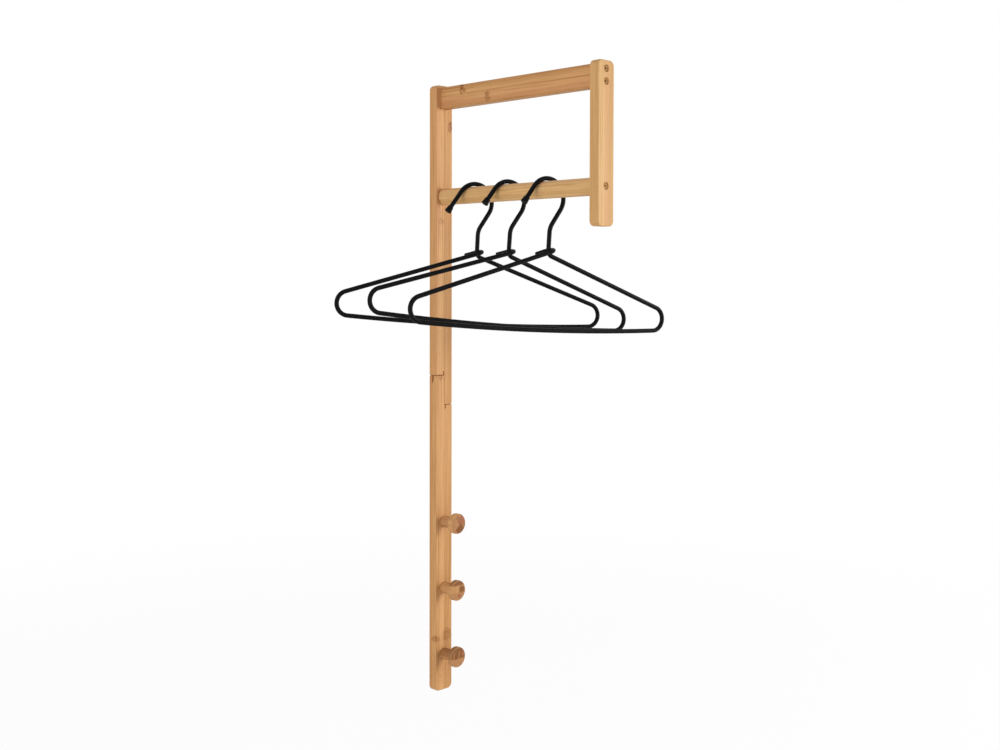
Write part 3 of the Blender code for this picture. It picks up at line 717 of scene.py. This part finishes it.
def make_screw(seat, material):
    head, length = screw_sizes(seat.node, seat.axis)
    place = seat_place(seat)
    screw = turned("fine_" + seat.node, screw_profile(head, length), SCREW_SIDES, place, seat.rotation)
    socket_half = head * SCREW_SOCKET_SHARE / 2
    floor = -SCREW_SINK - SOCKET_DEPTH
    profile = [(0.0, SOCKET_DEPTH), (socket_half, SOCKET_DEPTH), (socket_half, floor), (0.0, floor)]
    socket = turned(seat.node + "_socket", profile, SOCKET_SIDES, place, seat.rotation)
    cut(screw, socket)
    settle(screw, [socket])
    dress(screw, seat.node, "rack", material)


def rooms_near(low, high):
    """Rooms of the screws that reach into a box."""
    rooms = []
    for seat in SEATS:
        seat_low, seat_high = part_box(seat.node)
        if all(seat_low[i] < high[i] and seat_high[i] > low[i] for i in range(3)):
            rooms.append(screw_room(seat))
    return rooms


def bracket_rooms(low, high):
    """Pockets for the keyhole brackets that lie in a bar, with room for a wall screw's head."""
    rooms = []
    for bracket in BRACKETS:
        near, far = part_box(bracket)
        middle = (near.z + far.z) / 2
        if not low.z < middle < high.z:
            continue
        corner = BRACKET_CORNER + FIT
        pocket = rectangle(near.x - FIT, far.x + FIT, near.z - FIT, far.z + FIT, corner, corner)
        rooms.append(slab(bracket + "_pocket", pocket, -low.y, near.y - FIT))
        room = KEYHOLE_HEAD / 2 + FIT
        hole = middle - KEYHOLE_RISE / 2
        cavity = rectangle(-room, room, hole - room, hole + KEYHOLE_RISE + room, room, room)
        rooms.append(slab(bracket + "_cavity", cavity, -low.y, near.y - HEAD_ROOM))
    return rooms


def make_bar(node, low_radius, high_radius, material, lap=None, relief=None):
    """A flat upright bar with rounded corners, eased edges, and room for what it holds."""
    low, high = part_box(node)
    outline = rectangle(low.x, high.x, low.z, high.z, low_radius, high_radius)
    bar = slab("fine_" + node, outline, high.y, low.y)
    ease_edges(bar, EDGE_EASE, BEVEL_STEPS)
    cutters = []
    if lap:
        cutters = [slab(node + "_lap", lap, -low.y, 2 * low.y),
                   slab(node + "_relief", relief, low.y + RELIEF_DEPTH, 2 * low.y)]
        cut(bar, cutters[0])
        ease_edges(bar, SEAM_EASE, SEAM_STEPS)
        cut(bar, cutters[1])
    rooms = rooms_near(low, high)
    if high.y > -FIT:
        rooms += bracket_rooms(low, high)
    cut(bar, *rooms)
    settle(bar, cutters + rooms)
    dress(bar, node, "rack", material)


def make_post():
    """Both halves of the post, whose tongues lie side by side in a half lap."""
    seam = FIT / 2
    lap_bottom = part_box("upper_post")[0].z - seam
    lap_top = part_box("lower_post")[1].z + seam
    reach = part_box("upper_post")[1].x * 2
    upper_lap = rectangle(-reach, seam, 2 * lap_bottom - lap_top, lap_top + seam)
    upper_relief = rectangle(seam - RELIEF_WIDTH, seam, lap_top, lap_top + RELIEF_LENGTH, 0.0,
                             RELIEF_WIDTH / 2)
    lower_lap, lower_relief = ([(-x, lap_top + lap_bottom - z, radius) for x, z, radius in corners]
                               for corners in (upper_lap, upper_relief))
    make_bar("upper_post", TONGUE_RADIUS, END_RADIUS, UPPER_BAMBOO, upper_lap, upper_relief)
    make_bar("lower_post", END_RADIUS, TONGUE_RADIUS, LOWER_BAMBOO, lower_lap, lower_relief)


def make_arm():
    low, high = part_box("top_arm")
    outline = rectangle(low.x, high.x, low.z, high.z, EDGE_EASE, EDGE_EASE)
    arm = slab("fine_top_arm", outline, high.y, low.y)
    rooms = rooms_near(low, high)
    cut(arm, *rooms)
    settle(arm, rooms)
    dress(arm, "top_arm", "rack", ARM_BAMBOO)


def make_rod():
    low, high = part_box("hanging_rod")
    radius = (high.z - low.z) / 2
    half = (high.y - low.y) / 2
    profile = [(0.0, half), (radius - ROD_EASE, half), (radius, half - ROD_EASE),
               (radius, ROD_EASE - half), (radius - ROD_EASE, -half), (0.0, -half)]
    rod = turned("fine_hanging_rod", profile, TURNED_SIDES, (low + high) / 2, TO_ROOM)
    rooms = rooms_near(low, high)
    cut(rod, *rooms)
    settle(rod, rooms)
    dress(rod, "hanging_rod", "rack", ROD_BAMBOO)


def knob_profile(head, length):
    shank = KNOB_SHANK / 2
    face = head - KNOB_ROUND
    shoulder = length - KNOB_DOME
    rim_low = shoulder - KNOB_ROUND - KNOB_RIM
    shares = [step / DOME_STEPS for step in range(DOME_STEPS)]
    quarter = [radians(90 * step / CORNER_STEPS) for step in range(CORNER_STEPS + 1)]
    dome = [(face * share, length - KNOB_DOME * share ** 2) for share in shares]
    front = [(face + KNOB_ROUND * sin(a), shoulder - KNOB_ROUND * (1 - cos(a))) for a in quarter]
    flare = [(shank + (head - shank) * (1 - sin(a)), rim_low - KNOB_FLARE * (1 - cos(a))) for a in quarter]
    return dome + front + flare + [(shank, 0.0), (0.0, 0.0)]


def make_knob(node):
    low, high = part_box(node)
    place = ((low.x + high.x) / 2, high.y, (low.z + high.z) / 2)
    profile = knob_profile((high.z - low.z) / 2, high.y - low.y)
    knob = turned("fine_" + node, profile, TURNED_SIDES, place, TO_ROOM)
    rooms = rooms_near(low, high)
    cut(knob, *rooms)
    settle(knob, rooms)
    dress(knob, node, "rack", KNOB_BAMBOO[node])


def arc(centre, radius, start, end, steps):
    """Points of an arc in XZ, between two angles in degrees."""
    angles = [radians(start + (end - start) * step / steps) for step in range(steps + 1)]
    return [Vector((centre[0] + radius * cos(a), 0.0, centre[1] + radius * sin(a))) for a in angles]


def touch_angle(point, centre, radius):
    """Angle, in degrees, of the place on a circle's upper right where a line from a point touches it."""
    across = centre[0] - point[0]
    down = point[1] - centre[1]
    return degrees(pi - atan2(down, across) - acos(radius / hypot(across, down)))


def hook_route(leg_length, rod_radius):
    """Hook and stem, from the wire's end at the tip down to the neck, about the rod's axis."""
    hang = HOOK_RADIUS - WIRE_DIAMETER / 2 - FIT - rod_radius
    centre = (HOOK_OFFSET, -sqrt(hang ** 2 - HOOK_OFFSET ** 2))
    hook = arc(centre, HOOK_RADIUS, HOOK_START, HOOK_END, HOOK_STEPS)
    leg = Vector((sin(radians(HOOK_START)), 0.0, -cos(radians(HOOK_START)))) * leg_length
    lean = radians(-HOOK_END)
    run = (hook[-1].x - STEM_OFFSET - STEM_RADIUS * (1 - cos(lean))) / sin(lean)
    stem_centre = (STEM_OFFSET + STEM_RADIUS, hook[-1].z - run * cos(lean) - STEM_RADIUS * sin(lean))
    stem = arc(stem_centre, STEM_RADIUS, 180 + HOOK_END, 180, STEM_STEPS)
    return [hook[0] - leg] + hook + stem


def body_route(droop):
    """Right arm, bottom wire and left arm, from the bend below the stem to the left arm's upper end."""
    half = HANGER_WIDTH / 2 - WIRE_DIAMETER / 2 - SHOULDER_RADIUS - WIRE_TRIM
    root = (0.0, -NECK_DROP)
    crossing = (0.0, -NECK_DROP + NECK_LIFT)
    shoulder = (root[1] + crossing[1]) / 2 - SHOULDER_DROP
    bow = degrees(atan2(2 * BAR_BOW, half))
    tilt = degrees(atan2(droop, 2 * half))
    turn = touch_angle(root, (half, shoulder), SHOULDER_RADIUS)
    bend_height = root[1] + NECK_RADIUS * tan(radians(turn / 2))
    bend = arc((NECK_RADIUS, bend_height), NECK_RADIUS, 180, 180 + turn, NECK_STEPS)
    right = arc((half, shoulder), SHOULDER_RADIUS, turn, -90 + bow + tilt, SHOULDER_STEPS)
    left_turn = touch_angle(crossing, (half, shoulder - droop), SHOULDER_RADIUS)
    left = arc((-half, shoulder - droop), SHOULDER_RADIUS, -90 - bow + tilt, -180 - left_turn, SHOULDER_STEPS)
    shares = [step / BOTTOM_STEPS for step in range(1, BOTTOM_STEPS)]
    sag = Vector((0.0, 0.0, -4 * BAR_BOW))
    bottom = [right[-1].lerp(left[0], share) + sag * share * (1 - share) for share in shares]
    return bend + right + bottom + left


def neck_route(shoulder):
    """Left arm's wire past the stem's front, half round the stem and straight back behind the arm."""
    wrap = WIRE_DIAMETER + WRAP_GAP
    start = Vector((0.0, -wrap, NECK_LIFT - NECK_DROP))
    ahead = (start - shoulder).normalized()
    slope = ahead.z / ahead.x
    wound = []
    for step in range(WRAP_STEPS + 1):
        angle = radians(-90 + 180 * step / WRAP_STEPS)
        across = wrap * cos(angle)
        rise = slope * across + WRAP_RISE * step / WRAP_STEPS
        wound.append(Vector((across, wrap * sin(angle), start.z + rise)))
    tail = Vector((ahead.x, 0.0, ahead.z)).normalized() * TAIL_LENGTH
    return wound + [wound[-1] - tail]


def hanger_route(hanger, rod_radius):
    """Centre line of one hanger's wire, from its hook tip to its tail's end, about the rod's axis."""
    body = body_route(hanger.droop)
    aside = Vector((STEM_OFFSET, 0.0, 0.0))
    return hook_route(hanger.leg, rod_radius) + [point + aside for point in body + neck_route(body[-1])]


def tip_profile():
    """End cap: a short flared cup that takes the wire's end."""
    mouth = TIP_MOUTH / 2
    end = TIP_END / 2
    bore = WIRE_DIAMETER / 2 + FIT
    top = TIP_COVER + FIT
    bottom = top - TIP_LENGTH
    quarter = [radians(90 * step / BEVEL_STEPS) for step in range(BEVEL_STEPS + 1)]
    lip = [(mouth - TIP_ROUND * (1 - sin(a)), top - TIP_ROUND * (1 - cos(a))) for a in quarter]
    foot = [(end - TIP_ROUND * (1 - cos(a)), bottom + TIP_ROUND * (1 - sin(a))) for a in quarter]
    return [(0.0, -FIT), (bore, -FIT), (bore, top)] + lip + foot + [(0.0, bottom)]


def make_hanger(hanger):
    """One wire hanger and its end cap, about its joint on the rod's axis."""
    low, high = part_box("hanging_rod")
    joint = next(entry for entry in frame["joints"] if entry["name"] == hanger.joint)
    hung = Euler((0.0, radians(hanger.lean), radians(hanger.turn)))
    place = Matrix.LocRotScale(Vector(joint["pos_m"]), hung, None)
    route = hanger_route(hanger, (high.z - low.z) / 2)
    wire = tube("fine_" + hanger.node, route, WIRE_DIAMETER / 2, place)
    settle(wire)
    dress(wire, hanger.node, hanger.body, BLACK_WIRE)
    lead = route[1] - route[0]
    seat = place @ Matrix.LocRotScale(route[0], Euler((0.0, atan2(lead.x, lead.z), 0.0)), None)
    tip = turned("fine_" + hanger.node + "_tip", tip_profile(), TIP_SIDES, seat.to_translation(),
                 seat.to_quaternion())
    settle(tip)
    dress(tip, hanger.node + "_tip", hanger.body, BLACK_TIP)


def make_rack():
    make_post()
    make_arm()
    make_rod()
    make_bar("outer_upright", END_RADIUS, END_RADIUS, UPRIGHT_BAMBOO)
    for node in KNOBS:
        make_knob(node)
    for seat in SEATS:
        if seat.node in FRONT_SCREWS:
            make_screw(seat, BRONZED_STEEL)
        else:
            make_screw(seat, ZINC_STEEL)
    for bracket in BRACKETS:
        node = frame["nodes"][bracket]
        node.data.materials.clear()
        node.data.materials.append(ZINC_STEEL)
    for hanger in HANGERS:
        make_hanger(hanger)


def white_seen(graph):
    """1 for what the camera sees directly, in a reflection or through a clear piece, and otherwise 0."""
    path = graph.node("LightPath").outputs
    seen = graph.math("MAXIMUM", path["Is Camera Ray"], path["Is Glossy Ray"])
    return graph.math("MAXIMUM", seen, path["Is Transmission Ray"])


def make_floor():
    half = FLOOR_SIZE / 2
    corners = ((-half, -half), (half, -half), (half, half), (-half, half))
    form = bmesh.new()
    form.faces.new([form.verts.new((x, y, FLOOR_HEIGHT)) for x, y in corners])
    floor = add_object("floor", mesh_from("floor", form))
    surface = Surface("pale_floor")
    tone = surface.even_noise(surface.place(), FLOOR_GRAIN)
    surface.set(Base_Color=surface.mix(tone, *FLOOR_TONES), Roughness=FLOOR_ROUGHNESS)
    white = surface.node("Emission", {"Color": WHITE, "Strength": 1.0})
    away = surface.vector("LENGTH", surface.vector("MULTIPLY", surface.place(), (1.0, 1.0, 0.0)))
    share = surface.math("MULTIPLY", white_seen(surface), surface.step(away, *FLOOR_FADE, FLOOR_WHITE, 1.0))
    both = surface.node("MixShader", {0: share, 1: surface.shader.outputs[0], 2: white.outputs[0]})
    surface.feed(surface.tree.nodes["Material Output"].inputs["Surface"], both.outputs[0])
    floor.data.materials.append(surface.material)


def make_world():
    world = bpy.data.worlds.new("studio")
    bpy.context.scene.world = world
    world.use_nodes = True
    graph = Graph(world.node_tree)
    soft = graph.tree.nodes["Background"]
    graph.feed(soft.inputs["Color"], WHITE)
    graph.feed(soft.inputs["Strength"], WORLD_STRENGTH)
    white = graph.node("Background", {"Color": WHITE, "Strength": 1.0})
    both = graph.node("MixShader", {0: white_seen(graph), 1: soft.outputs[0], 2: white.outputs[0]})
    graph.feed(graph.tree.nodes["World Output"].inputs["Surface"], both.outputs[0])


def make_light(name, place, size, power):
    lamp = bpy.data.lights.new(name, "AREA")
    lamp.size = size
    lamp.energy = power
    item = add_object(name, lamp)
    item.location = place
    item.rotation_euler = (Vector(LIGHT_AIM) - Vector(place)).to_track_quat("-Z", "Y").to_euler()


def make_camera():
    data = bpy.data.cameras.new("camera")
    data.lens = CAMERA_LENS
    data.shift_y = CAMERA_SHIFT
    camera = add_object("camera", data)
    camera.location = CAMERA_PLACE
    camera.rotation_euler = (radians(90 + CAMERA_PITCH), radians(CAMERA_ROLL), radians(CAMERA_TURN))
    bpy.context.scene.camera = camera


bpy.context.scene.view_settings.view_transform = "Standard"
make_camera()
make_rack()
make_floor()
make_world()
make_light("key", KEY_PLACE, KEY_SIZE, KEY_POWER)
make_light("fill", FILL_PLACE, FILL_SIZE, FILL_POWER)
